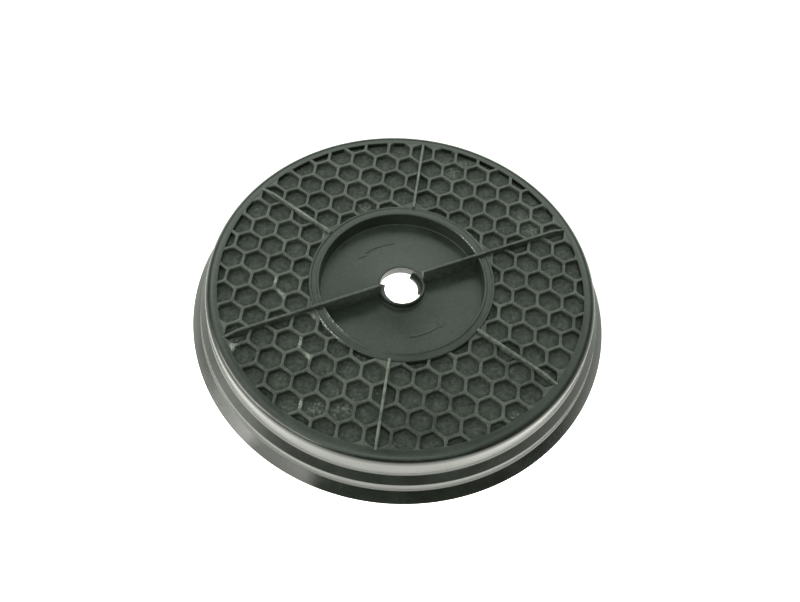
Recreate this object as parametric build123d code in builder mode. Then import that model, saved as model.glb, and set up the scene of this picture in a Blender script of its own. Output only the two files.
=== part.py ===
from build123d import *
import math
import os

# Cooker hood carbon filter: a round cassette with a honeycomb front, a dished centre with a grip bar
# and a bayonet hub, and a ring of activated carbon between two fleece mats.
# Millimetres. +Z leaves the honeycomb face, the base rim stands on z = 0, the axis is Z, and the grip
# bar runs along X.

# Case, outside: the base rim gives the width, and the walls above it stand in from it
base_radius = 105.0
lower_flare_width = 4.8
upper_flare_width = 3.9
face_height = 27.8
face_rounding = 4.4
base_edge = 0.8
lower_flare_height = 4.8
step_height = 10.4
upper_flare_height = 4.4
flare_rounding = 2.0
step_rounding = 0.8

# Case, inside
wall = 2.0
inner_rounding = 0.8
base_rim_width = 4.0
border_width = 6.3

# Honeycomb: the pitch is the distance between the centres of neighbouring cells
cell_pitch = 12.2
cell_wall = 1.6
honeycomb_depth = 2.7
# A cell is cut where its centre is no more than this share of the pitch outside the honeycomb
cell_overhang = 0.25

# Inner ring, dish and well
ring_radius = 45.9
ring_width = 5.1
ring_rise = 0.5
ring_edge = 0.4
dish_edge = 0.8
dish_wall_draft = 0.5
dish_depth = 7.4
dish_floor_thickness = 2.0
dish_floor_rounding = 0.8
well_bend_rise = 0.6

# Hub and bayonet lugs
hub_bore_radius = 10.6
hub_wall = 1.1
hub_rise = 3.4
hub_edge = 0.4
lug_radius = 8.3
lug_height = 1.8
lug_arc = 76.0
# The slots beside the lugs are wider than the bore by this much, so that the boss's wings enter freely
wing_slot_gap = 0.3

# Ribs: the grip bar crosses the dish, and the four others stand on the honeycomb only
rib_count = 6
bar_rise = 2.2
bar_thickness = 1.6
rib_rise = 1.8
rib_thickness = 1.4
rib_end_inset = 4.8
rib_taper_length = 8.0

# Rear cover
cover_thickness = 2.4
cover_recess = 0.4
cover_gap = 0.1
cover_border = 5.0
cover_cell_pitch = 17.0
collar_wall = 1.5
collar_height = 2.2

# Filling
mat_thickness = 3.0
filling_gap = 0.3
mat_corner_gap = 0.9

# Radii that follow from the sizes above
step_radius = base_radius - lower_flare_width
case_radius = step_radius - upper_flare_width
honeycomb_radius = case_radius - border_width
rib_end_radius = case_radius - rib_end_inset
cover_seat_radius = base_radius - base_rim_width
case_inner_radius = case_radius - wall
step_inner_radius = step_radius - wall
dish_radius = ring_radius - ring_width
dish_floor_radius = dish_radius - dish_wall_draft
well_wall_outer_radius = dish_floor_radius + wall
well_top_outer_radius = dish_radius + wall
hub_outer_radius = hub_bore_radius + hub_wall
wing_slot_radius = hub_bore_radius + wing_slot_gap

# Heights that follow from the sizes above
lower_flare_top = base_edge + lower_flare_height
upper_flare_top = step_height + upper_flare_height
upper_flare_inside = wall / 2
honeycomb_underside = face_height - honeycomb_depth
ring_top = face_height + ring_rise
rib_height = face_height + rib_rise
bar_height = face_height + bar_rise
dish_floor_height = face_height - dish_depth
dish_underside = dish_floor_height - dish_floor_thickness
well_wall_bend = dish_underside + well_bend_rise
lug_top = dish_underside + lug_height
hub_height = dish_floor_height + hub_rise
cover_top = cover_recess + cover_thickness
front_mat_underside = honeycomb_underside - mat_thickness
rear_mat_top = cover_top + mat_thickness

# How far a shape runs into the one that carries it
overlap = 0.5


def round_corner(profile, radius_of_corner, height_of_corner, rounding):
    """Round one corner of a section that is drawn in radius and height."""
    corner = profile.vertices().sort_by_distance((radius_of_corner, height_of_corner))[0]
    fillet(corner, rounding)


def cell_centres(pitch, inner_radius, outer_radius):
    """Centres of a hexagonal grid around the axis, with neighbours at 30 degrees to the grip bar."""
    reach = math.ceil(outer_radius / pitch) + 1
    margin = cell_overhang * pitch
    centres = []
    for row in range(-reach, reach + 1):
        for place in range(-2 * reach, 2 * reach + 1):
            x = row * pitch * math.sqrt(3) / 2
            y = (place + row / 2) * pitch
            distance = math.hypot(x, y)
            if inner_radius - margin < distance < outer_radius + margin:
                centres.append((x, y))
    return centres


def rib_plane(angle):
    """Upright plane through the axis, with the radius along its x and the height along its y."""
    turn = math.radians(angle)
    return Plane(
        origin=(0, 0, 0),
        x_dir=(math.cos(turn), math.sin(turn), 0),
        z_dir=(math.sin(turn), -math.cos(turn), 0),
    )


os.makedirs("parts", exist_ok=True)

# Front case: one moulding
with BuildPart() as front_case:
    # Border, side wall with its two flares, and base rim, in one section
    with BuildSketch(Plane.XZ) as shell_section:
        with BuildLine():
            Polyline(
                (honeycomb_radius, face_height),
                (case_radius, face_height),
                (case_radius, upper_flare_top),
                (step_radius, step_height),
                (step_radius, lower_flare_top),
                (base_radius, base_edge),
                (base_radius, 0),
                (cover_seat_radius, 0),
                (cover_seat_radius, cover_top),
                (step_inner_radius, cover_top),
                (step_inner_radius, step_height - upper_flare_inside),
                (case_inner_radius, upper_flare_top - upper_flare_inside),
                (case_inner_radius, honeycomb_underside),
                (honeycomb_radius, honeycomb_underside),
                close=True,
            )
        make_face()
        round_corner(shell_section, case_radius, face_height, face_rounding)
        round_corner(shell_section, case_radius, upper_flare_top, flare_rounding)
        round_corner(shell_section, step_radius, step_height, step_rounding)
        round_corner(shell_section, step_radius, lower_flare_top, flare_rounding)
        round_corner(shell_section, case_inner_radius, honeycomb_underside, inner_rounding)
    revolve(axis=Axis.Z)

    # Inner ring, dish, hub tube and the well wall that closes the carbon space, in one section
    with BuildSketch(Plane.XZ) as centre_section:
        with BuildLine():
            Polyline(
                (ring_radius, honeycomb_underside),
                (ring_radius, ring_top),
                (dish_radius, ring_top),
                (dish_floor_radius, dish_floor_height),
                (hub_outer_radius, dish_floor_height),
                (hub_outer_radius, hub_height),
                (hub_bore_radius, hub_height),
                (hub_bore_radius, lug_top),
                (wing_slot_radius, lug_top),
                (wing_slot_radius, dish_underside),
                (dish_floor_radius, dish_underside),
                (dish_floor_radius, cover_top),
                (well_wall_outer_radius, cover_top),
                (well_wall_outer_radius, well_wall_bend),
                (well_top_outer_radius, honeycomb_underside),
                close=True,
            )
        make_face()
        round_corner(centre_section, ring_radius, ring_top, ring_edge)
        round_corner(centre_section, dish_radius, ring_top, dish_edge)
        round_corner(centre_section, dish_floor_radius, dish_floor_height, dish_floor_rounding)
        round_corner(centre_section, hub_outer_radius, hub_height, hub_edge)
        round_corner(centre_section, hub_bore_radius, hub_height, hub_edge)
    revolve(axis=Axis.Z)

    # Ribs: their outer ends run down to the border
    for index in range(rib_count):
        is_bar = index % (rib_count // 2) == 0
        top = bar_height if is_bar else rib_height
        thickness = bar_thickness if is_bar else rib_thickness
        with BuildSketch(rib_plane(index * 360 / rib_count)):
            with BuildLine():
                if is_bar:
                    Polyline(
                        (hub_outer_radius - overlap, dish_floor_height - overlap),
                        (dish_floor_radius + overlap, dish_floor_height - overlap),
                        (well_top_outer_radius, honeycomb_underside),
                        (rib_end_radius, honeycomb_underside),
                        (rib_end_radius, face_height),
                        (rib_end_radius - rib_taper_length, top),
                        (hub_outer_radius - overlap, top),
                        close=True,
                    )
                else:
                    Polyline(
                        (ring_radius - overlap, honeycomb_underside),
                        (rib_end_radius, honeycomb_underside),
                        (rib_end_radius, face_height),
                        (rib_end_radius - rib_taper_length, top),
                        (ring_radius - overlap, top),
                        close=True,
                    )
            make_face()
        extrude(amount=thickness / 2, both=True)

    # Two bayonet lugs at the foot of the hub bore, in line with the grip bar
    for side in (0, 180):
        start = side - lug_arc / 2
        with BuildSketch(Plane.XY.offset(dish_underside)):
            with BuildLine():
                outer_arc = CenterArc((0, 0), wing_slot_radius + overlap, start, lug_arc)
                inner_arc = CenterArc((0, 0), lug_radius, start, lug_arc)
                Line(outer_arc @ 0, inner_arc @ 0)
                Line(outer_arc @ 1, inner_arc @ 1)
            make_face()
        extrude(amount=lug_height)

    # Honeycomb between the ring and the border, open right through to the front mat
    with BuildSketch(Plane.XY.offset(honeycomb_underside)):
        Circle(honeycomb_radius + overlap)
        Circle(ring_radius - overlap, mode=Mode.SUBTRACT)
        with Locations(*cell_centres(cell_pitch, ring_radius, honeycomb_radius)):
            RegularPolygon(
                (cell_pitch - cell_wall) / 2,
                6,
                major_radius=False,
                mode=Mode.SUBTRACT,
            )
    extrude(amount=honeycomb_depth)

front_case.part.label = "front_case"
export_step(front_case.part, "parts/front_case.step")

# Rear cover: a ring-shaped grille with a collar that takes the foot of the well wall
with BuildPart() as rear_cover:
    with BuildSketch(Plane.XY.offset(cover_recess)):
        Circle(cover_seat_radius - cover_gap)
        Circle(dish_floor_radius, mode=Mode.SUBTRACT)
        with Locations(
            *cell_centres(
                cover_cell_pitch,
                well_wall_outer_radius + cover_border + cover_cell_pitch / 2,
                step_inner_radius - cover_border - cover_cell_pitch / 2,
            )
        ):
            RegularPolygon(
                (cover_cell_pitch - wall) / 2,
                6,
                major_radius=False,
                mode=Mode.SUBTRACT,
            )
    extrude(amount=cover_thickness)
    with BuildSketch(Plane.XY.offset(cover_top)):
        Circle(well_wall_outer_radius + cover_gap + collar_wall)
        Circle(well_wall_outer_radius + cover_gap, mode=Mode.SUBTRACT)
    extrude(amount=collar_height)

rear_cover.part.label = "rear_cover"
export_step(rear_cover.part, "parts/rear_cover.step")

# Front mat: lies against the underside of the honeycomb
with BuildPart() as front_mat:
    with BuildSketch(Plane.XY.offset(front_mat_underside)):
        Circle(case_inner_radius - mat_corner_gap)
        Circle(well_top_outer_radius + filling_gap, mode=Mode.SUBTRACT)
    extrude(amount=mat_thickness)

front_mat.part.label = "front_mat"
export_step(front_mat.part, "parts/front_mat.step")

# Carbon bed: the granules fill the space between the mats
with BuildPart() as carbon_bed:
    with BuildSketch(Plane.XZ):
        with BuildLine():
            Polyline(
                (well_top_outer_radius + filling_gap, front_mat_underside),
                (case_inner_radius - mat_corner_gap, front_mat_underside),
                (case_inner_radius - mat_corner_gap, upper_flare_top - upper_flare_inside),
                (step_inner_radius - mat_corner_gap, step_height - upper_flare_inside),
                (step_inner_radius - mat_corner_gap, rear_mat_top),
                (well_wall_outer_radius + filling_gap, rear_mat_top),
                (well_wall_outer_radius + filling_gap, well_wall_bend),
                close=True,
            )
        make_face()
    revolve(axis=Axis.Z)

carbon_bed.part.label = "carbon_bed"
export_step(carbon_bed.part, "parts/carbon_bed.step")

# Rear mat: lies on the rear cover, around its collar
with BuildPart() as rear_mat:
    with BuildSketch(Plane.XY.offset(cover_top)):
        Circle(step_inner_radius - mat_corner_gap)
        Circle(
            well_wall_outer_radius + cover_gap + collar_wall + filling_gap,
            mode=Mode.SUBTRACT,
        )
    extrude(amount=mat_thickness)

rear_mat.part.label = "rear_mat"
export_step(rear_mat.part, "parts/rear_mat.step")
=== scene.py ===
# %% [markdown]
# # A carbon filter cassette for a cooker hood
#
# The cassette is a round tray of black moulded plastic. Its face is a honeycomb that lets the air
# through to a dark fleece, and behind the fleece lies a bed of activated carbon. A dish in the
# middle holds a grip bar and the hub that locks on the hood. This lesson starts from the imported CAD
# model, replaces the moulding and the fleece by finer meshes of the same form, and gives every
# piece its own finish.

import math

import bmesh
import bpy
from mathutils import Matrix, Vector


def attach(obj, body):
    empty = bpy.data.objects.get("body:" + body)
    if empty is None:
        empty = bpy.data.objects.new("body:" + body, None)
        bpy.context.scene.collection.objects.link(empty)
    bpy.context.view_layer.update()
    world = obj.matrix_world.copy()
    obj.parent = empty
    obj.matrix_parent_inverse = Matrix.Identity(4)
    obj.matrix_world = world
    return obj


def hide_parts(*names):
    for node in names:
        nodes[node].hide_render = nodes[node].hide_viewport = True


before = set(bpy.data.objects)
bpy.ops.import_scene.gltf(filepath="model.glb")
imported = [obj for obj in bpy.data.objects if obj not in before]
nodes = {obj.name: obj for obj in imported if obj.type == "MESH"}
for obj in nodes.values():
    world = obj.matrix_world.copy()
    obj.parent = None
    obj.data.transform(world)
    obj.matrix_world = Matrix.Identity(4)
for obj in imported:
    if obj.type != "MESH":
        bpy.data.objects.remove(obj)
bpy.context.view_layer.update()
print("CAD nodes:", ", ".join(sorted(nodes)))

# %% [markdown]
# ## Small helpers
#
# Every size below is a real one in millimetres, and Blender works in metres, so `MM` turns one into
# the other. Edges that turn by more than `SHARP_ANGLE` are shaded as sharp ones. Colours are
# written as the eye reads them on a screen (sRGB), and Blender mixes light in linear values, so one
# function turns the first into the second. Shader and geometry trees are built by the same small
# function, which adds one node with its settings and its links. Each material starts with the place
# of a point in millimetres, so a noise has one over its size in millimetres as its scale.

# %% Units, colours and nodes
MM = 0.001
SHARP_ANGLE = math.radians(32)


def linear(colour):
    """A linear RGBA colour from a hex one as seen on a screen."""
    channels = [int(colour[i : i + 2], 16) / 255 for i in (1, 3, 5)]
    return [c / 12.92 if c <= 0.04045 else ((c + 0.055) / 1.055) ** 2.4 for c in channels] + [1]


def add(tree, kind, inputs=None, **settings):
    """One node with its settings, and for each input a value or the sockets or nodes it takes."""
    node = tree.nodes.new(kind)
    for name, value in settings.items():
        setattr(node, name, value)
    for place, value in (inputs or {}).items():
        several = isinstance(value, tuple) and isinstance(value[0], bpy.types.Node)
        for source in value if several else [value]:
            if isinstance(source, bpy.types.Node):
                source = source.outputs[0]
            if isinstance(source, bpy.types.NodeSocket):
                tree.links.new(source, node.inputs[place])
            else:
                node.inputs[place].default_value = source
    return node


def new_material(name):
    """An empty material: itself, its tree, and a node with the place of a point in millimetres."""
    material = bpy.data.materials.new(name)
    material.use_nodes = True
    tree = material.node_tree
    tree.nodes.clear()
    place = add(tree, "ShaderNodeTexCoord").outputs["Object"]
    return material, tree, add(tree, "ShaderNodeMapping", {"Vector": place, "Scale": (1 / MM,) * 3})


def mixed(tree, share, first, second):
    """The colour between two, each of them a hex colour or a socket, by the share of the second."""
    inputs = {0: share}
    for place, colour in ((6, first), (7, second)):
        inputs[place] = linear(colour) if isinstance(colour, str) else colour
    return add(tree, "ShaderNodeMix", inputs, data_type="RGBA").outputs[2]


# %% [markdown]
# ## The finishes
#
# ** Scuffs and painted glints**: a used cassette carries pale scuff marks where it has rubbed,
# and the same pale marks also paint glints where a rounded edge catches a light. A painted mask
# would need a picture, so each mark is a place and a size: the distance to it fades the patch out,
# and a twisted noise breaks it into scratches. On the raised ring the marks are painted glints, and
# there they keep to the radii of the two bead tops.

# %% Where a surface is scuffed or carries a painted glint
# The second colour is that of the scuff marks and of the painted glints
pale_dust, scuff_and_glint_colour = "#8a8f86", "#b4b8ae"


def scuff_and_glint_strength(tree, in_mm, scuff_and_glint_spots, edges, reach=0.35):
    """How strongly a point shows a scuff mark or a painted glint, from spots (x, y, size) in
    millimetres on the face.
    """
    plan = add(tree, "ShaderNodeVectorMath", {0: in_mm, 1: (1.0, 1.0, 0.0)}, operation="MULTIPLY")
    near_spot = 0.0
    for x, y, size in scuff_and_glint_spots:
        away = add(tree, "ShaderNodeVectorMath", {0: plan, 1: (x, y, 0.0)}, operation="DISTANCE")
        near = add(
            tree,
            "ShaderNodeMapRange",
            {"Value": away.outputs["Value"], "From Min": size, "From Max": size * 0.4},
        )
        near_spot = add(tree, "ShaderNodeMath", {0: near_spot, 1: near}, operation="MAXIMUM")
    scratch = add(
        tree,
        "ShaderNodeTexNoise",
        {"Vector": in_mm, "Scale": 1 / 0.9, "Detail": 2.0, "Distortion": 2.0},
    )
    broken = add(
        tree,
        "ShaderNodeMapRange",
        {"Value": scratch, "From Min": 0.5, "From Max": 0.56, "To Max": 0.7},
    )
    strength = add(tree, "ShaderNodeMath", {0: near_spot, 1: broken}, operation="MULTIPLY")
    # Given edges, the marks are painted glints that keep to these radii, the tops of the ring's beads
    if not edges:
        return strength
    from_axis = add(tree, "ShaderNodeVectorMath", {0: plan}, operation="LENGTH").outputs["Value"]
    raised = 0.0
    for edge in edges:
        on_edge = add(
            tree, "ShaderNodeMath", {0: from_axis, 1: edge, 2: reach}, operation="COMPARE"
        )
        raised = add(tree, "ShaderNodeMath", {0: raised, 1: on_edge}, operation="MAXIMUM")
    return add(tree, "ShaderNodeMath", {0: strength, 1: raised}, operation="MULTIPLY")


# %% [markdown]
# **Case and cover**: polypropylene, coloured black in the mass and moulded in one tool whose parts
# have different skins. The face is spark-eroded and has a fine grain, the dish and the border are
# smoother, and the rims are almost polished. A noise of 0.3 mm stands for the grain. The real one
# is about a tenth of that, too fine to show at this size, so it is drawn coarser. Broad noises vary
# the tone and the gloss, and a fine one sets specks of pale dust.

# %% Moulded polypropylene
def moulded_polypropylene(name, dark, light, gloss, dust, scuff_and_glint_spots=(), edges=()):
    """Black polypropylene from a spark-eroded tool: satin, mottled, with pale dust, scuff marks and
    painted glints.
    """
    material, tree, in_mm = new_material(name)
    cloud = add(tree, "ShaderNodeTexNoise", {"Vector": in_mm, "Scale": 1 / 22, "Detail": 5.0})
    speck = add(tree, "ShaderNodeTexNoise", {"Vector": in_mm, "Scale": 1 / 1.1, "Detail": 3.0})
    grain = add(tree, "ShaderNodeTexNoise", {"Vector": in_mm, "Scale": 1 / 0.3, "Detail": 2.0})
    mottle = add(
        tree,
        "ShaderNodeTexNoise",
        {"Vector": in_mm, "Scale": 1 / 1.8, "Detail": 4.0, "Roughness": 0.65},
    )
    patches = add(tree, "ShaderNodeMath", {0: cloud, 1: mottle}, operation="ADD")
    tone = add(tree, "ShaderNodeMapRange", {"Value": patches, "From Min": 0.8, "From Max": 1.2})
    colour = mixed(tree, tone, dark, light)
    dusty = add(
        tree,
        "ShaderNodeMapRange",
        {"Value": speck, "From Min": 0.66, "From Max": 0.85, "To Max": dust},
    )
    colour = mixed(tree, dusty, colour, pale_dust)
    # Scuff marks and painted glints take the pale colour
    if scuff_and_glint_spots:
        scuff_and_glint = scuff_and_glint_strength(tree, in_mm, scuff_and_glint_spots, edges)
        colour = mixed(tree, scuff_and_glint, colour, scuff_and_glint_colour)
    rough = add(
        tree,
        "ShaderNodeMapRange",
        {
            "Value": cloud,
            "From Min": 0.3,
            "From Max": 0.7,
            "To Min": gloss - 0.05,
            "To Max": gloss + 0.07,
        },
    )
    bump = add(
        tree, "ShaderNodeBump", {"Height": grain, "Strength": 0.5, "Distance": 0.04 * MM}
    )
    shader = add(
        tree,
        "ShaderNodeBsdfPrincipled",
        {"Base Color": colour, "Roughness": rough, "IOR": 1.49, "Normal": bump},
    )
    add(tree, "ShaderNodeOutputMaterial", {"Surface": shader})
    return material


# %% [markdown]
# The moulding gets four versions of this plastic and the cover a fifth. The numbers after the two
# tones are the roughness and the strength of the dust. The scuff marks on the face lie where the
# photo shows the plainest ones, and one spot there paints a glint. The paler version for the thin
# ribs is a painted highlight, and on the ring the pale marks are painted glints.

# %% The plastics of the case and the cover
# Scuff marks on the face; the spot at (-49, -5) is a painted glint along the ring's outer edge
face_scuffs_and_glint = [
    (-59, 13, 3.5),
    (-58, 22, 2.5),
    (-52, 9, 2),
    (-49, -5, 2.5),
    (-59, -15, 3.5),
    (-58, -24, 3),
    (-88, -7, 3),
    (-69, -46, 2.5),
    (-26, -45, 3),
    (-2, -50, 2.5),
]
face_plastic = moulded_polypropylene(
    "moulded polypropylene, grained face", "#22251f", "#454942", 0.37, 0.3, face_scuffs_and_glint
)
# On the ring the pale marks are painted glints, kept to the tops of its two beads at these radii
ring_glints = [(-44, -13, 13), (39, 8, 11)]
ring_glint_radii = [45.6, 41.2]
dish_plastic = moulded_polypropylene(
    "moulded polypropylene, smooth dish", "#181c17", "#262c26", 0.33, 0.2, ring_glints, ring_glint_radii
)
# The thin ribs are paler: a painted highlight for the light on their rounded tops
rib_highlight_plastic = moulded_polypropylene(
    "moulded polypropylene, rubbed ribs", "#3a3f39", "#6c7169", 0.33, 0.3
)
rim_plastic = moulded_polypropylene(
    "moulded polypropylene, polished rim", "#121511", "#1c201b", 0.17, 0.12
)
cover_plastic = moulded_polypropylene(
    "moulded polypropylene, rear cover", "#171d17", "#222a22", 0.42, 0.25
)
for plastic in (face_plastic, dish_plastic, rib_highlight_plastic, rim_plastic, cover_plastic):
    print("Finish:", plastic.name, "with", len(plastic.node_tree.nodes), "nodes")

# %% [markdown]
# **Fleece**: a needled mat of dyed polyester fibres. It has next to no gloss, the fibres that stand
# up give it a faint sheen, and the tufts and hollows read as a mottle of one or two millimetres.
# Fine streaks that run in changing directions stand for the fibres. Real fibres, drawn as hairs,
# would not show at this distance and would cost more faces than the whole cassette.

# %% Needled fleece
def needled_fleece(name, dark, light):
    """Dyed polyester fleece: matt, mottled by its tufts, with fibres in every direction."""
    material, tree, in_mm = new_material(name)
    tuft = add(
        tree,
        "ShaderNodeTexNoise",
        {"Vector": in_mm, "Scale": 1 / 1.6, "Detail": 4.0, "Roughness": 0.6},
    )
    fibres = add(
        tree,
        "ShaderNodeTexNoise",
        {"Vector": in_mm, "Scale": 1 / 0.5, "Detail": 3.0, "Distortion": 3.0},
    )
    mottle = add(tree, "ShaderNodeMapRange", {"Value": tuft, "From Min": 0.35, "From Max": 0.68})
    shade = add(tree, "ShaderNodeMath", {0: mottle, 1: fibres}, operation="MULTIPLY")
    colour = mixed(tree, shade, dark, light)
    # Pale dust has settled in patches: a fine noise gives the specks and a broad one the patches
    speck = add(tree, "ShaderNodeTexNoise", {"Vector": in_mm, "Scale": 1 / 1.2, "Detail": 2.0})
    patch = add(tree, "ShaderNodeTexNoise", {"Vector": in_mm, "Scale": 1 / 16, "Detail": 1.0})
    settled = add(tree, "ShaderNodeMath", {0: speck, 1: patch}, operation="ADD")
    dusty = add(
        tree,
        "ShaderNodeMapRange",
        {"Value": settled, "From Min": 1.2, "From Max": 1.4, "To Max": 0.45},
    )
    colour = mixed(tree, dusty, colour, pale_dust)
    height = add(tree, "ShaderNodeMath", {0: tuft, 1: fibres}, operation="ADD")
    bump = add(
        tree, "ShaderNodeBump", {"Height": height, "Strength": 0.9, "Distance": 0.35 * MM}
    )
    shader = add(
        tree,
        "ShaderNodeBsdfPrincipled",
        {
            "Base Color": colour,
            "Roughness": 0.95,
            "IOR": 1.45,
            "Specular IOR Level": 0.2,
            "Sheen Weight": 0.25,
            "Sheen Roughness": 0.6,
            "Normal": bump,
        },
    )
    add(tree, "ShaderNodeOutputMaterial", {"Surface": shader})
    return material


fleece = needled_fleece("needled polyester fleece, charcoal", "#1d211c", "#5c6158")
print("Finish:", fleece.name)

# %% [markdown]
# **Carbon**: activated carbon granules are broken grains of one to three millimetres, dull black
# with small faces that catch the light. They lie between the two mats where nothing shows, so one
# closed ring stands for them, and cell noise gives it the look of packed grains.

# %% Carbon granules
def carbon_granules(name, dark, light):
    """Packed grains of activated carbon: dull black, each grain with its own tone and tilt."""
    material, tree, in_mm = new_material(name)
    grains = add(tree, "ShaderNodeTexVoronoi", {"Vector": in_mm, "Scale": 1 / 2.2})
    tone = mixed(tree, grains.outputs["Color"], dark, light)
    bump = add(
        tree,
        "ShaderNodeBump",
        {"Height": grains.outputs["Distance"], "Strength": 1.0, "Distance": 1.0 * MM},
        invert=True,
    )
    shader = add(
        tree,
        "ShaderNodeBsdfPrincipled",
        {"Base Color": tone, "Roughness": 0.6, "IOR": 1.6, "Normal": bump},
    )
    add(tree, "ShaderNodeOutputMaterial", {"Surface": shader})
    return material


carbon = carbon_granules("activated carbon granules", "#0c0c0d", "#232426")
print("Finish:", carbon.name)

# %% [markdown]
# ## Turned shapes
#
# The side wall with its two flares, the inner ring, the dish and the hub tube are all turned
# shapes, so each is one outline spun about the axis. An outline is a list of corners, each with the
# radius that rounds it: real mouldings have no sharp corner, and the thin bright lines along the
# rims come from these small roundings. The upright walls lean in by half a millimetre, the draft
# that lets a moulding leave its tool. A screw modifier could spin them too, and doing it in mesh
# code keeps each shape closed.

# %% Outlines with rounded corners
def rounded(corners, steps=6):
    """A closed outline from corners (x, y, rounding), each rounding drawn in steps."""
    outline = []
    for index, (x, y, rounding) in enumerate(corners):
        corner = Vector((x, y))
        if rounding == 0:
            outline.append(corner)
            continue
        back = (Vector(corners[index - 1][:2]) - corner).normalized()
        ahead = (Vector(corners[(index + 1) % len(corners)][:2]) - corner).normalized()
        half = back.angle(ahead) / 2
        centre = corner + (back + ahead).normalized() * rounding / math.sin(half)
        start = corner + back * rounding / math.tan(half) - centre
        end = corner + ahead * rounding / math.tan(half) - centre
        sweep = math.atan2(start.x * end.y - start.y * end.x, start.dot(end))
        for step in range(steps + 1):
            outline.append(centre + Matrix.Rotation(sweep * step / steps, 2) @ start)
    return outline


# %% [markdown]
# Every solid except the honeycomb's Y is swept: the same loop of points is set down again and
# again along a way, and faces join each loop to the next. A ring runs back into its first loop, and
# any other solid is capped at both ends.

# %% Solids swept through loops of points
def swept(sections, closed=False):
    """A solid through equal loops of points in millimetres. A closed one needs no caps."""
    shape = bmesh.new()
    loops = [
        [shape.verts.new((x * MM, y * MM, z * MM)) for x, y, z in section] for section in sections
    ]
    for here, there in zip(loops, loops[1:] + loops[:1] if closed else loops[1:]):
        for i in range(len(here)):
            j = (i + 1) % len(here)
            shape.faces.new((here[i], here[j], there[j], there[i]))
    if not closed:
        shape.faces.new(loops[0])
        shape.faces.new(loops[-1])
    bmesh.ops.recalc_face_normals(shape, faces=shape.faces[:])
    return shape


def upright(outline, angle):
    """An outline in radius and height, stood up at this angle about the axis."""
    cos, sin = math.cos(math.radians(angle)), math.sin(math.radians(angle))
    return [(away * cos, away * sin, height) for away, height in outline]


def spun(outline, parts=360):
    """A ring: the outline, in radius and height, carried round the axis."""
    return swept([upright(outline, 360 * part / parts) for part in range(parts)], closed=True)


def prism(outline, bottom, top):
    """A block with this outline in plan, between two heights."""
    return swept([[(x, y, z) for x, y in outline] for z in (bottom, top)])


# %% [markdown]
# The outer outline starts at the edge of the honeycomb, runs over the border and down the side wall
# with its step to the base rim, and comes back inside. The big rounding of the border is what
# mirrors the lights above, and it takes eight steps so that its edge looks round.

# %% Side wall, flares and border
base_radius, step_radius, case_radius, honeycomb_radius = 105.0, 100.2, 96.3, 90.0
face_height, honeycomb_underside = 27.8, 25.1
case_foot, step_top, step_foot, rim_top = 14.8, 10.4, 5.6, 0.8
# Inside, the cover sits in the widest ring, and the carbon and the mats fill the two narrower ones
cover_radius, cover_top = 101.0, 2.8
wide_filling, narrow_filling, inside_drop = 98.2, 94.3, 1
fine_edge, draft = 0.25, 0.25

wall_corners = [
    (honeycomb_radius, face_height, fine_edge),
    (case_radius - draft, face_height, 4.4),
    (case_radius + draft, case_foot, 2.0),
    (step_radius - draft, step_top, 0.8),
    (step_radius + draft, step_foot, 1.2),
    (base_radius, rim_top, fine_edge),
    (base_radius, 0, fine_edge),
    (cover_radius, 0, 0),
    (cover_radius, cover_top, 0),
    (wide_filling, cover_top, 0),
    (wide_filling, step_top - inside_drop, 0),
    (narrow_filling, case_foot - inside_drop, 0),
    (narrow_filling, honeycomb_underside, 0.8),
    (honeycomb_radius, honeycomb_underside, 0),
]
side_wall = spun(rounded(wall_corners, 8))
print("Side wall:", len(side_wall.faces), "faces")

# %% [markdown]
# The middle is one more outline: the raised ring with a bead along each edge and a shallow groove
# between them, the nearly upright wall of the dish, its floor, the hub tube with its through hole,
# and the wall behind the dish that keeps the carbon out of the middle. The foot of the tube is a
# little wider, so that the wings of the hood's boss pass into it between the lugs that come next.

# %% Ring, dish and hub tube
ring_radius, ring_top, dish_radius = 45.9, 28.3, 40.8
dish_floor_radius, dish_floor, dish_underside = 40.3, 20.4, 18.4
hub_bore, hub_outside, hub_top = 10.6, 11.7, 23.8
lug_top, wing_slot = 20.2, 10.9
groove_floor, groove_slope, bead_width = 27.95, 0.35, 1.1
well_outside, well_root, well_top = 42.3, 42.8, 19.0

middle_corners = [
    (ring_radius, honeycomb_underside, 0),
    (ring_radius, ring_top, 0.5),
    (ring_radius - bead_width, ring_top, 0.3),
    (ring_radius - bead_width - groove_slope, groove_floor, 0.1),
    (dish_radius + bead_width + groove_slope, groove_floor, 0.1),
    (dish_radius + bead_width, ring_top, 0.45),
    (dish_radius, ring_top, 0.45),
    (dish_floor_radius, dish_floor, 0.35),
    (hub_outside, dish_floor, 0.3),
    (hub_outside, hub_top, 0.4),
    (hub_bore, hub_top, 0.4),
    (hub_bore, lug_top, 0),
    (wing_slot, lug_top, 0),
    (wing_slot, dish_underside, 0),
    (dish_floor_radius, dish_underside, 0),
    (dish_floor_radius, cover_top, 0),
    (well_outside, cover_top, 0),
    (well_outside, well_top, 0),
    (well_root, honeycomb_underside, 0),
]
middle = spun(rounded(middle_corners), 240)
print("Middle:", len(middle.faces), "faces")

# %% [markdown]
# Two lugs stand inside the foot of the hub tube. The wings on the hood's boss pass between them and
# lock behind them after a part turn. Each is a block bent round the axis, with its edges bevelled.

# %% Bayonet lugs
def bent_block(inner, outer, bottom, top, first, last, parts=14, bevel=0.2):
    """A block between two radii and two heights, bent round the axis from one angle to another."""
    outline = ((inner, bottom), (outer, bottom), (outer, top), (inner, top))
    angles = [first + (last - first) * part / parts for part in range(parts + 1)]
    shape = swept([upright(outline, angle) for angle in angles])
    sharp = [e for e in shape.edges if e.calc_face_angle(0) > SHARP_ANGLE]
    width = min(bevel, (outer - inner) / 6) * MM
    bmesh.ops.bevel(shape, geom=sharp, offset=width, segments=2, profile=0.5, affect="EDGES")
    return shape


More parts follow.
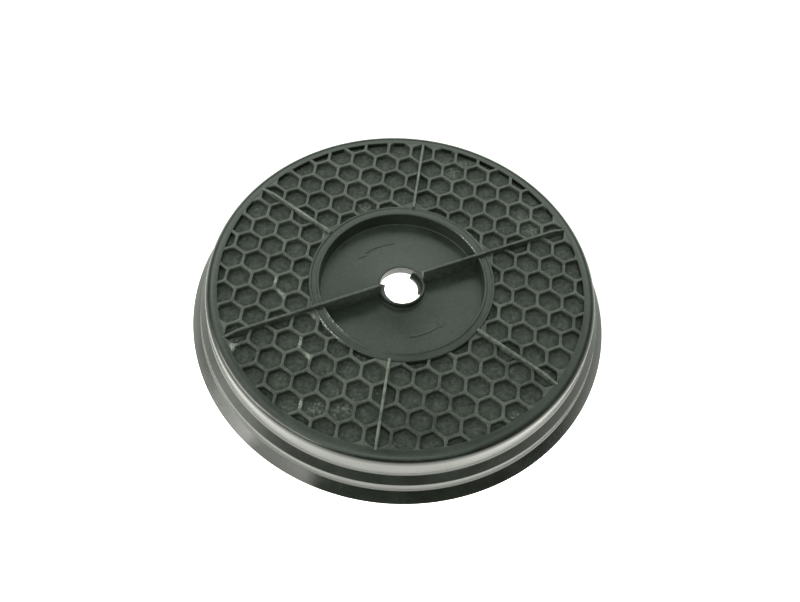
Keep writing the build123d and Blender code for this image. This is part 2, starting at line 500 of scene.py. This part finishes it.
# A lug's root reaches into the wall of the tube, and its foot stays a hair above the tube's own
lug_radius, lug_root, lug_half_arc = 8.3, hub_bore + 0.8, 38
lug_foot = dish_underside + 0.01
lugs = [
    bent_block(lug_radius, lug_root, lug_foot, lug_top, side - lug_half_arc, side + lug_half_arc)
    for side in (0, 180)
]
print("Lugs:", len(lugs))

# %% [markdown]
# The dish floor carries faint raised marks. Plain curved arrows for the turning direction stand for
# them: a bent bar and a flat triangle, raised by a quarter of a millimetre, one on each side of the
# grip bar.

# %% Turning arrows
def arrow_head(radius, angle, length, half_width, bottom, top, inwards=0.3):
    """A triangular block that points along the circle of this radius, anticlockwise."""
    turned = Matrix.Rotation(math.radians(angle), 2)
    corners = ((radius - half_width, 0), (radius + half_width, 0), (radius - inwards, length))
    return prism([turned @ Vector(corner) for corner in corners], bottom, top)


arrow_radius, arrow_width, arrow_arc = 28.0, 1.1, 34
head_length, head_half_width = 4.5, 1.9
arrow_foot, arrow_top = dish_floor - 0.5, dish_floor + 0.25
inner_edge, outer_edge = arrow_radius - arrow_width / 2, arrow_radius + arrow_width / 2
arrows = []
for start in (75, 255):
    end = start + arrow_arc
    arrows += [
        bent_block(inner_edge, outer_edge, arrow_foot, arrow_top, start, end),
        arrow_head(arrow_radius, end, head_length, head_half_width, arrow_foot, arrow_top),
    ]
print("Arrow pieces:", len(arrows))

# %% [markdown]
# ## The honeycomb
#
# A honeycomb wall looks like one net, but it is the same small piece over and over: three half
# walls that meet at 120 degrees, a Y. Every corner of the net is such a Y, half of them turned by
# 180 degrees. One Y with softly rounded top edges is modelled once, and Geometry Nodes sets it on
# every corner of a skewed grid. Cutting hexagons out of a plate would give the same net, but a
# boolean leaves no clean edges to round, and the rounded edges are what the eye sees.

# %% One Y of the net
cell_pitch, cell_wall = 12.2, 1.6
cell_side = cell_pitch / math.sqrt(3)


def top_edge(half, top, rounding):
    """The rounded top edge of a wall, from its side to its top, as points (half width, height)."""
    bend = [math.radians(a) for a in (0, 30, 60, 90)]
    return [
        (half - rounding + rounding * math.cos(a), top - rounding + rounding * math.sin(a))
        for a in bend
    ]


def wall_junction(bottom, top, thickness, rounding, corner_rounding=0.9, spread=0.08):
    """Three half walls that meet at the origin, wider at the foot and open at their ends."""
    shape = bmesh.new()
    half = thickness / 2
    loops = []
    for width, height in [(half + spread, bottom)] + top_edge(half, top, rounding):
        loop = []
        for arm in range(3):
            along = Matrix.Rotation(math.radians(120 * arm), 2)
            ends = [along @ Vector((cell_side / 2, side * width)) for side in (-1, 1)]
            notch = width * 2 / math.sqrt(3)
            inner = along @ (Matrix.Rotation(math.radians(60), 2) @ Vector((notch, 0)))
            leave = along @ Vector((1, 0))
            arrive = along @ (Matrix.Rotation(math.radians(120), 2) @ Vector((1, 0)))
            first = inner + leave * corner_rounding
            last = inner + arrive * corner_rounding
            middle_point = inner * 0.5 + (first + last) * 0.25
            loop += [ends[0], ends[1], first, middle_point, last]
        loops.append([shape.verts.new((p.x * MM, p.y * MM, height * MM)) for p in loop])
    # An arm takes five points of a loop, and the side between its first two is the open end
    for low, high in zip(loops, loops[1:]):
        for i in range(len(low)):
            if i % 5 == 0:
                continue
            j = (i + 1) % len(low)
            shape.faces.new((low[i], low[j], high[j], high[i]))
    for loop in (loops[0], loops[-1]):
        for arm in range(3):
            i = 5 * arm
            shape.faces.new((loop[i], loop[i + 1], loop[i + 2], loop[i - 1]))
        shape.faces.new([loop[5 * arm + k] for arm in range(3) for k in (2, 3, 4)])
    bmesh.ops.recalc_face_normals(shape, faces=shape.faces[:])
    return shape


def as_object(name, shape, finishes=()):
    """A mesh object from a bmesh, smooth except at its sharp edges."""
    mesh = bpy.data.meshes.new(name)
    shape.to_mesh(mesh)
    shape.free()
    mesh.set_sharp_from_angle(angle=SHARP_ANGLE)
    for finish in finishes:
        mesh.materials.append(finish)
    piece = bpy.data.objects.new(name, mesh)
    bpy.context.scene.collection.objects.link(piece)
    return piece


# No two faces coincide: the net's top lies a hair under the border, and a block inside the net
net_top = face_height - 0.04
block_foot, block_top, block_size = honeycomb_underside + 0.02, net_top - 0.03, cell_side - 0.15
hexagon = [Matrix.Rotation(math.radians(60 * i), 2) @ Vector((block_size, 0)) for i in range(6)]
block = as_object("blind cell", prism(hexagon, block_foot, block_top))
junction = as_object("net junction", wall_junction(honeycomb_underside, net_top, cell_wall, 0.25))
print("One Y:", len(junction.data.polygons), "faces, half walls of", round(cell_side / 2, 2), "mm")

# %% [markdown]
# The tree below turns a square grid into a skewed one, so that its points are the middles of the
# cells. It also works out how far a point lies outside the ring of cells. Geometry Nodes works such
# a value out anew at each step that uses it, so it serves to drop, to fill and to draw back what
# lies too far out.

# %% A tree for the net
def new_tree(name, inputs):
    """An empty geometry tree with named inputs and one geometry output."""
    tree = bpy.data.node_groups.new(name, "GeometryNodeTree")
    for label, kind in inputs.items():
        tree.interface.new_socket(label, in_out="INPUT", socket_type=kind)
    tree.interface.new_socket("Geometry", in_out="OUTPUT", socket_type="NodeSocketGeometry")
    return tree, add(tree, "NodeGroupInput").outputs


net_tree, given = new_tree(
    "honeycomb net",
    {
        "Junction": "NodeSocketObject",
        "Blind cell": "NodeSocketObject",
        "Pitch": "NodeSocketFloat",
        "Overhang": "NodeSocketFloat",
        "Inner radius": "NodeSocketFloat",
        "Outer radius": "NodeSocketFloat",
        "Reach": "NodeSocketFloat",
        "Material": "NodeSocketMaterial",
    },
)
lattice = add(
    net_tree,
    "GeometryNodeMeshGrid",
    {"Size X": 40.0, "Size Y": 40.0, "Vertices X": 41, "Vertices Y": 41},
)
position = add(net_tree, "GeometryNodeInputPosition")
grid_place = add(net_tree, "ShaderNodeSeparateXYZ", {"Vector": position})
column = add(
    net_tree,
    "ShaderNodeMath",
    {0: grid_place.outputs["X"], 1: given["Pitch"]},
    operation="MULTIPLY",
)
row_x = add(net_tree, "ShaderNodeMath", {0: column, 1: math.sqrt(3) / 2}, operation="MULTIPLY")
row = add(
    net_tree,
    "ShaderNodeMath",
    {0: grid_place.outputs["X"], 1: 0.5, 2: grid_place.outputs["Y"]},
    operation="MULTIPLY_ADD",
)
row_y = add(net_tree, "ShaderNodeMath", {0: row, 1: given["Pitch"]}, operation="MULTIPLY")

# How far a point lies outside the ring of cells, inwards or outwards
flat = add(
    net_tree, "ShaderNodeVectorMath", {0: position, 1: (1.0, 1.0, 0.0)}, operation="MULTIPLY"
)
radius = add(net_tree, "ShaderNodeVectorMath", {0: flat}, operation="LENGTH").outputs["Value"]
both_radii = add(
    net_tree,
    "ShaderNodeMath",
    {0: given["Inner radius"], 1: given["Outer radius"]},
    operation="ADD",
)
ring_middle = add(net_tree, "ShaderNodeMath", {0: both_radii, 1: 0.5}, operation="MULTIPLY")
ring_half = add(
    net_tree,
    "ShaderNodeMath",
    {0: given["Outer radius"], 1: ring_middle},
    operation="SUBTRACT",
)
from_middle = add(net_tree, "ShaderNodeMath", {0: radius, 1: ring_middle}, operation="SUBTRACT")
off_middle = add(net_tree, "ShaderNodeMath", {0: from_middle}, operation="ABSOLUTE")
beyond = add(net_tree, "ShaderNodeMath", {0: off_middle, 1: ring_half}, operation="SUBTRACT")

# %% [markdown]
# A shift by one cell side to the right gives the corners of one kind, and a shift to the left the
# others, whose Ys are turned by half a turn. Corners further outside the ring of cells than an arm
# can bridge are dropped.

# %% Both kinds of corner
arm_reach = add(net_tree, "ShaderNodeMath", {0: given["Pitch"], 1: 0.32}, operation="MULTIPLY")
dropped = add(net_tree, "ShaderNodeMath", {0: beyond, 1: arm_reach}, operation="GREATER_THAN")
junction_mesh = add(net_tree, "GeometryNodeObjectInfo", {"Object": given["Junction"]})
instances = []
for side, turn in ((1, 0.0), (-1, math.pi)):
    corner_x = add(
        net_tree,
        "ShaderNodeMath",
        {0: given["Pitch"], 1: side / math.sqrt(3), 2: row_x},
        operation="MULTIPLY_ADD",
    )
    corner = add(net_tree, "ShaderNodeCombineXYZ", {"X": corner_x, "Y": row_y})
    placed = add(net_tree, "GeometryNodeSetPosition", {"Geometry": lattice, "Position": corner})
    kept = add(
        net_tree,
        "GeometryNodeDeleteGeometry",
        {"Geometry": placed, "Selection": dropped},
        domain="POINT",
    )
    instances.append(
        add(
            net_tree,
            "GeometryNodeInstanceOnPoints",
            {
                "Points": kept,
                "Instance": junction_mesh.outputs["Geometry"],
                "Rotation": (0.0, 0.0, turn),
            },
        )
    )

# %% [markdown]
# The slivers of cell that would be left along the border and the inner ring are blind on the real
# face. A hexagonal block fills each cell whose middle lies further than the overhang outside the
# ring of cells.

# %% Blind cells
middle_spot = add(net_tree, "ShaderNodeCombineXYZ", {"X": row_x, "Y": row_y})
middles = add(net_tree, "GeometryNodeSetPosition", {"Geometry": lattice, "Position": middle_spot})
furthest = add(net_tree, "ShaderNodeMath", {0: given["Pitch"], 1: 0.6}, operation="MULTIPLY")
too_near = add(net_tree, "ShaderNodeMath", {0: beyond, 1: given["Overhang"]}, operation="LESS_THAN")
too_far = add(net_tree, "ShaderNodeMath", {0: beyond, 1: furthest}, operation="GREATER_THAN")
open_cell = add(net_tree, "ShaderNodeMath", {0: too_near, 1: too_far}, operation="MAXIMUM")
filled = add(
    net_tree,
    "GeometryNodeDeleteGeometry",
    {"Geometry": middles, "Selection": open_cell},
    domain="POINT",
)
block_mesh = add(net_tree, "GeometryNodeObjectInfo", {"Object": given["Blind cell"]})
instances.append(
    add(
        net_tree,
        "GeometryNodeInstanceOnPoints",
        {"Points": filled, "Instance": block_mesh.outputs["Geometry"]},
    )
)

# %% [markdown]
# The Ys and blocks are then joined into one net, and ends that reach into the border or the inner
# ring are drawn back, so that they stop inside them. Run on its own object, the tree gives a plain
# mesh, and the modifier goes.

# %% One welded net
net = add(net_tree, "GeometryNodeJoinGeometry", {"Geometry": tuple(instances)})
real = add(net_tree, "GeometryNodeRealizeInstances", {"Geometry": net})
welded = add(net_tree, "GeometryNodeMergeByDistance", {"Geometry": real, "Distance": 0.02 * MM})
least = add(
    net_tree,
    "ShaderNodeMath",
    {0: given["Inner radius"], 1: given["Reach"]},
    operation="SUBTRACT",
)
most = add(
    net_tree, "ShaderNodeMath", {0: given["Outer radius"], 1: given["Reach"]}, operation="ADD"
)
held = add(net_tree, "ShaderNodeClamp", {"Value": radius, "Min": least, "Max": most})
share = add(net_tree, "ShaderNodeMath", {0: held, 1: radius}, operation="DIVIDE")
pull = add(net_tree, "ShaderNodeMath", {0: share, 1: 1.0}, operation="SUBTRACT")
pulled = add(net_tree, "ShaderNodeVectorMath", {0: flat, "Scale": pull}, operation="SCALE")
drawn_back = add(net_tree, "GeometryNodeSetPosition", {"Geometry": welded, "Offset": pulled})
painted = add(
    net_tree,
    "GeometryNodeSetMaterial",
    {"Geometry": drawn_back, "Material": given["Material"]},
)
add(net_tree, "NodeGroupOutput", {"Geometry": painted})


def grown(name, tree, values):
    """The plain mesh that a geometry tree gives for these input values."""
    holder = bpy.data.objects.new(name, bpy.data.meshes.new(name))
    bpy.context.scene.collection.objects.link(holder)
    modifier = holder.modifiers.new(name, "NODES")
    modifier.node_group = tree
    for item in tree.interface.items_tree:
        if item.in_out == "INPUT":
            modifier[item.identifier] = values[item.name]
    graph = bpy.context.evaluated_depsgraph_get()
    mesh = bpy.data.meshes.new_from_object(holder.evaluated_get(graph))
    bpy.data.objects.remove(holder)
    shape = bmesh.new()
    shape.from_mesh(mesh)
    bpy.data.meshes.remove(mesh)
    return shape


honeycomb = grown(
    "honeycomb",
    net_tree,
    {
        "Junction": junction,
        "Blind cell": block,
        "Pitch": cell_pitch * MM,
        "Overhang": cell_pitch / 4 * MM,
        "Inner radius": ring_radius * MM,
        "Outer radius": honeycomb_radius * MM,
        "Reach": 1.4 * MM,
        "Material": face_plastic,
    },
)
open_ends = [e for e in honeycomb.edges if e.is_boundary]
bmesh.ops.holes_fill(honeycomb, edges=open_ends, sides=0)
print("Honeycomb:", len(honeycomb.faces), "faces,", len(open_ends), "open edges closed")
bpy.data.objects.remove(junction)
bpy.data.objects.remove(block)

# %% [markdown]
# ## Ribs and grip bar
#
# Six ribs run out from the middle at 60 degrees to each other. Two of them, in one line, are a
# little higher and thicker and go on across the dish to the hub: they are the grip bar that a hand
# turns the cassette by. Each is an upright plate with a rounded top that runs down to the border at
# its outer end. One rib and one half of the bar are modelled, and a second tree sets them round the
# axis.

# %% One rib and one half of the bar
def rib(stations, thickness, rounding=0.4):
    """An upright plate along X through stations (radius, bottom, top), its top edges rounded."""
    half = thickness / 2
    sections = []
    for away, bottom, top in stations:
        side = [(half, bottom)] + top_edge(half, top, rounding)
        outline = side + [(-y, z) for y, z in reversed(side)]
        sections.append([(away, y, z) for y, z in outline])
    return swept(sections)


bar_top, bar_width, rib_top, rib_width = 30.0, 1.6, 29.6, 1.4
taper_start, rib_end, rib_end_top = 83.5, 91.5, face_height - 0.05
sunk = 0.5
thin_rib = as_object(
    "thin rib",
    rib(
        [
            (ring_radius - sunk, honeycomb_underside, rib_top),
            (taper_start, honeycomb_underside, rib_top),
            (rib_end, honeycomb_underside, rib_end_top),
        ],
        rib_width,
    ),
)
half_bar = as_object(
    "half of the grip bar",
    rib(
        [
            (hub_outside - sunk, dish_floor - sunk, bar_top),
            (dish_floor_radius + sunk, dish_floor - sunk, bar_top),
            (well_root, honeycomb_underside, bar_top),
            (taper_start, honeycomb_underside, bar_top),
            (rib_end, honeycomb_underside, rib_end_top),
        ],
        bar_width,
    ),
)

# %% [markdown]
# The tree makes one point for each rib and turns an instance at it by its share of the circle.
# Every third one is half of the bar, and the others are thin ribs.

# %% A tree that sets them round the axis
rib_tree, given = new_tree(
    "ribs round the axis",
    {
        "Thin rib": "NodeSocketObject",
        "Half bar": "NodeSocketObject",
        "Count": "NodeSocketInt",
        "Bar every": "NodeSocketInt",
        "Material": "NodeSocketMaterial",
    },
)
points = add(rib_tree, "GeometryNodePoints", {"Count": given["Count"]})
index = add(rib_tree, "GeometryNodeInputIndex")
step_angle = add(
    rib_tree, "ShaderNodeMath", {0: 2 * math.pi, 1: given["Count"]}, operation="DIVIDE"
)
angle = add(rib_tree, "ShaderNodeMath", {0: index, 1: step_angle}, operation="MULTIPLY")
turned = add(rib_tree, "ShaderNodeCombineXYZ", {"Z": angle})
left_over = add(rib_tree, "ShaderNodeMath", {0: index, 1: given["Bar every"]}, operation="MODULO")
is_thin = add(rib_tree, "ShaderNodeMath", {0: left_over, 1: 0.5}, operation="GREATER_THAN")
is_bar = add(rib_tree, "ShaderNodeMath", {0: left_over, 1: 0.5}, operation="LESS_THAN")
sets = []
for which, chosen in (("Thin rib", is_thin), ("Half bar", is_bar)):
    model = add(rib_tree, "GeometryNodeObjectInfo", {"Object": given[which]})
    sets.append(
        add(
            rib_tree,
            "GeometryNodeInstanceOnPoints",
            {
                "Points": points,
                "Selection": chosen,
                "Instance": model.outputs["Geometry"],
                "Rotation": turned,
            },
        )
    )
all_ribs = add(rib_tree, "GeometryNodeJoinGeometry", {"Geometry": tuple(sets)})
real = add(rib_tree, "GeometryNodeRealizeInstances", {"Geometry": all_ribs})
painted = add(
    rib_tree, "GeometryNodeSetMaterial", {"Geometry": real, "Material": given["Material"]}
)
add(rib_tree, "NodeGroupOutput", {"Geometry": painted})

ribs = grown(
    "ribs",
    rib_tree,
    {
        "Thin rib": thin_rib,
        "Half bar": half_bar,
        "Count": 6,
        "Bar every": 3,
        "Material": face_plastic,
    },
)
print("Ribs and bar:", len(ribs.faces), "faces")
bpy.data.objects.remove(thin_rib)
bpy.data.objects.remove(half_bar)

# %% [markdown]
# ## The moulding as one piece
#
# On the real cassette all of this comes out of one tool, so the closed shapes are put together in
# one mesh, and it takes the place of the CAD node of the same form. Its finish changes with the
# skin of the tool: the net is grained, the dish and the flat border are smooth, and the rest of the
# side wall, with its flares, is polished and draws the bright lines along the rims. The four thin
# ribs get a paler plastic, a painted highlight for the light that their rounded tops catch. The
# grip bar lies along X, so a face that is far from that line belongs to a thin rib.

# %% Join the moulding
def give(shape, place, chosen=lambda spot: True):
    """Give the chosen faces of a shape the finish at this place, and let them shade smoothly."""
    for face in shape.faces:
        face.smooth = True
        if chosen(face.calc_center_median() / MM):
            face.material_index = place
    return shape


def together(name, shapes, finishes):
    """One object from several closed shapes."""
    whole = bmesh.new()
    for shape in shapes:
        part_mesh = bpy.data.meshes.new("part")
        shape.to_mesh(part_mesh)
        shape.free()
        whole.from_mesh(part_mesh)
        bpy.data.meshes.remove(part_mesh)
    return as_object(name, whole, finishes)


grained, smooth, polished, highlighted = 0, 1, 2, 3
border_end, border_low = 94.6, 26.4
give(ribs, grained)
# The thin ribs take the paler plastic, a painted highlight
give(ribs, highlighted, lambda spot: abs(spot.y) > hub_bore)
give(side_wall, polished)
give(side_wall, smooth, lambda spot: spot.xy.length < border_end and spot.z > border_low)
moulding = together(
    "front_case_moulding",
    [give(honeycomb, grained), ribs, give(middle, smooth), side_wall]
    + [give(block, smooth) for block in lugs + arrows],
    [face_plastic, dish_plastic, rim_plastic, rib_highlight_plastic],
)
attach(moulding, "root")
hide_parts("front_case")
print("Moulding:", len(moulding.data.polygons), "faces")

# %% [markdown]
# ## The fleece behind the honeycomb
#
# The mat is soft: its tufts stand up and sink by a few tenths of a millimetre, and that shows
# through the open cells. A ring with a fine top grid is spun like the other shapes, and its top
# points are moved by a noise in Geometry Nodes.

# %% Front mat
mat_inner, mat_outer = 43.1, 93.4
mat_underside, mat_thickness, mat_sag = 22.1, 3.0, 0.35
mat_top = mat_underside + mat_thickness
top_rows = 60
row_width = (mat_inner - mat_outer) / top_rows
mat_outline = [Vector((mat_outer, mat_underside)), Vector((mat_outer, mat_top))]
mat_outline += [
    Vector((mat_outer + row_width * row, mat_top - mat_sag)) for row in range(1, top_rows)
]
mat_outline += [Vector((mat_inner, mat_top)), Vector((mat_inner, mat_underside))]
smooth_mat = as_object("smooth mat", spun(mat_outline, 420))

mat_tree, given = new_tree(
    "tufts",
    {
        "Mat": "NodeSocketObject",
        "Tuft size": "NodeSocketFloat",
        "Tuft height": "NodeSocketFloat",
        "Above": "NodeSocketFloat",
        "Material": "NodeSocketMaterial",
    },
)
plain = add(mat_tree, "GeometryNodeObjectInfo", {"Object": given["Mat"]})
place = add(mat_tree, "GeometryNodeInputPosition")
per_metre = add(mat_tree, "ShaderNodeMath", {0: 1.0, 1: given["Tuft size"]}, operation="DIVIDE")
noise = add(mat_tree, "ShaderNodeTexNoise", {"Vector": place, "Scale": per_metre, "Detail": 3.0})
centred = add(mat_tree, "ShaderNodeMath", {0: noise, 1: 0.5}, operation="SUBTRACT")
rise = add(mat_tree, "ShaderNodeMath", {0: centred, 1: given["Tuft height"]}, operation="MULTIPLY")
level = add(mat_tree, "ShaderNodeSeparateXYZ", {"Vector": place}).outputs["Z"]
is_top = add(mat_tree, "ShaderNodeMath", {0: level, 1: given["Above"]}, operation="GREATER_THAN")
lift = add(mat_tree, "ShaderNodeCombineXYZ", {"Z": rise})
lifted = add(
    mat_tree,
    "GeometryNodeSetPosition",
    {"Geometry": plain.outputs["Geometry"], "Selection": is_top, "Offset": lift},
)
painted = add(
    mat_tree, "GeometryNodeSetMaterial", {"Geometry": lifted, "Material": given["Material"]}
)
add(mat_tree, "NodeGroupOutput", {"Geometry": painted})
tufted = grown(
    "tufted mat",
    mat_tree,
    {
        "Mat": smooth_mat,
        "Tuft size": 2.4 * MM,
        "Tuft height": 0.9 * MM,
        "Above": (mat_underside + mat_thickness / 2) * MM,
        "Material": fleece,
    },
)
bpy.data.objects.remove(smooth_mat)
front_fleece = together("front_fleece", [give(tufted, 0)], [fleece])
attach(front_fleece, "root")
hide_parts("front_mat")
print("Front fleece:", len(front_fleece.data.polygons), "faces")

# %% [markdown]
# ## The pieces that keep their CAD mesh
#
# The rear cover, the rear mat and the carbon bed have the right shape already, so each keeps its
# mesh and only gets its finish.

# %% Finishes for the CAD nodes
for name, finish in (("rear_cover", cover_plastic), ("rear_mat", fleece), ("carbon_bed", carbon)):
    mesh = nodes[name].data
    mesh.materials.clear()
    mesh.materials.append(finish)
    print(name, "is finished in", finish.name)

# %% [markdown]
# ## Table, light and camera
#
# The cassette lies on a lit white table, bright enough to lose its own edge and to show white
# through the hub. It glows most on the side of the viewer, so the upper half of the near wall
# mirrors it and shines, while the lower half mirrors the black flare below it and stays dark. The
# table lies a twentieth of a millimetre below the base rim, because two faces at one height would
# flicker.
#
# The table is made first. Its glow is emission that falls off with the distance to a lamp below it.

# %% Lit table
table_radius, table_gap = 4.0, 0.05 * MM
lamp_below = (-47.0, -88.0, 0.0)
table_shape = bmesh.new()
bmesh.ops.create_circle(
    table_shape,
    cap_ends=True,
    segments=96,
    radius=table_radius,
    matrix=Matrix.Translation((0, 0, -table_gap)),
)
table = as_object("lit table", table_shape)
table_finish, tree, in_mm = new_material("white acrylic light table")
from_lamp = add(tree, "ShaderNodeVectorMath", {0: in_mm, 1: lamp_below}, operation="DISTANCE")
glow = add(
    tree,
    "ShaderNodeMapRange",
    {
        "Value": from_lamp.outputs["Value"],
        "From Min": 95.0,
        "From Max": 155.0,
        "To Min": 3.7,
        "To Max": 0.6,
    },
)
surface = add(
    tree,
    "ShaderNodeBsdfPrincipled",
    {
        "Base Color": linear("#c8c8c6"),
        "Roughness": 0.5,
        "Emission Color": linear("#fffff6"),
        "Emission Strength": glow,
    },
)
add(tree, "ShaderNodeOutputMaterial", {"Surface": surface})
table.data.materials.append(table_finish)

# %% [markdown]
# Broad soft lamps hang around and above, as in a tent of white cloth: each one is placed where the
# face, the border or the dish mirrors it towards the camera. Two small warm ones at the left, low
# over the table, draw the bright lines along the left edges. One big dome would be simpler, but it
# would light the floor of the dish and its wall alike, and the shape would be lost.

# %% Soft light
viewer_turn = 27.085
face_middle = Vector((0, 0, face_height * MM))


def from_viewer(angle, elevation, distance):
    """A place round the cassette: angle 0 is towards the camera and 90 to its right."""
    a, e = math.radians(angle - viewer_turn), math.radians(elevation)
    away = Vector((math.sin(a) * math.cos(e), -math.cos(a) * math.cos(e), math.sin(e)))
    return face_middle + away * distance


def softbox(name, angle, elevation, distance, width, height, power, colour):
    """A soft lamp that looks at the cassette."""
    data = bpy.data.lights.new(name, "AREA")
    data.shape = "RECTANGLE"
    data.size, data.size_y = width, height
    data.energy = power
    data.color = colour
    lamp = bpy.data.objects.new(name, data)
    lamp.location = from_viewer(angle, elevation, distance)
    lamp.rotation_mode = "QUATERNION"
    lamp.rotation_quaternion = (face_middle - lamp.location).to_track_quat("-Z", "Y")
    bpy.context.scene.collection.objects.link(lamp)


# After the name: angle and elevation in degrees, distance and size in metres, power in watts
tube_light, warm_light = (0.88, 1.0, 0.9), (1.0, 1.0, 0.94)
softbox("far light", -176, 44, 1.3, 1.8, 0.55, 10, tube_light)
softbox("overhead light", 0, 80, 1.2, 1.2, 0.9, 2.5, tube_light)
softbox("near overhead light", 0, 52, 1.2, 1.4, 0.5, 5.5, tube_light)
softbox("left overhead light", -100, 50, 1.2, 1.0, 0.8, 4.4, tube_light)
softbox("right overhead light", 100, 52, 1.2, 1.0, 0.8, 3, tube_light)
softbox("left far fill light", -135, 34, 1.0, 0.5, 0.7, 0.9, tube_light)
softbox("right far fill light", 135, 34, 1.0, 0.5, 0.7, 0.9, tube_light)
softbox("left softbox", -72, 10, 0.9, 0.5, 0.26, 3.8, warm_light)
softbox("left fill light", -44, 17, 0.9, 0.5, 0.3, 2.8, warm_light)

# %% [markdown]
# The room behind the lamps is dim, so that the plastic has something dark to mirror between them.
# It is a ramp over the height of the direction, a little brighter at the horizon and overhead.

# %% Room
world = bpy.data.worlds.new("studio")
bpy.context.scene.world = world
world.use_nodes = True
tree = world.node_tree
tree.nodes.clear()
direction = add(tree, "ShaderNodeTexCoord").outputs["Generated"]
upwards = add(tree, "ShaderNodeSeparateXYZ", {"Vector": direction}).outputs["Z"]
bands = add(tree, "ShaderNodeValToRGB", {"Fac": upwards})
bands.color_ramp.elements[0].position = 0.0
bands.color_ramp.elements[0].color = (0.25, 0.26, 0.25, 1)
bands.color_ramp.elements[1].position = 1.0
bands.color_ramp.elements[1].color = (0.27, 0.3, 0.27, 1)
for height, grey in ((0.1, 0.15), (0.3, 0.06), (0.75, 0.08), (0.93, 0.22)):
    step = bands.color_ramp.elements.new(height)
    step.color = (grey, grey, grey, 1)
room = add(tree, "ShaderNodeBackground", {"Color": bands, "Strength": 1.0})
add(tree, "ShaderNodeOutputWorld", {"Surface": room})
bpy.context.scene.view_settings.view_transform = "Standard"
bpy.context.scene.view_settings.look = "None"

# %% [markdown]
# The camera stands where the photographer's did. Its height angle, roll, distance and lens were
# worked out from the honeycomb, whose cells are all alike, and from the circles of the rims.

# %% Camera
view_height, view_roll = 57.087, -5.453
view_shift = Vector((1.016, 10.129, -467.42)) * MM
focal_pixels, picture_width, sensor = 949.136, 800, 36.0

tilt = math.radians(view_height)
sine, cosine = math.sin(tilt), math.cos(tilt)
look = Matrix(((1, 0, 0), (0, sine, cosine), (0, -cosine, sine)))
rolled = Matrix.Rotation(math.radians(view_roll), 3, "Z")
turned_round = Matrix.Rotation(math.radians(viewer_turn), 3, "Z")
turn_to_camera = rolled @ look @ turned_round
camera_data = bpy.data.cameras.new("camera")
camera_data.sensor_width = sensor
camera_data.lens = focal_pixels * sensor / picture_width
camera = bpy.data.objects.new("camera", camera_data)
turn_back = turn_to_camera.transposed()
camera.matrix_world = Matrix.Translation(face_middle - turn_back @ view_shift) @ turn_back.to_4x4()
bpy.context.scene.collection.objects.link(camera)
bpy.context.scene.camera = camera
print("Lens", round(camera_data.lens, 2), "mm, camera at", [round(v, 3) for v in camera.location])
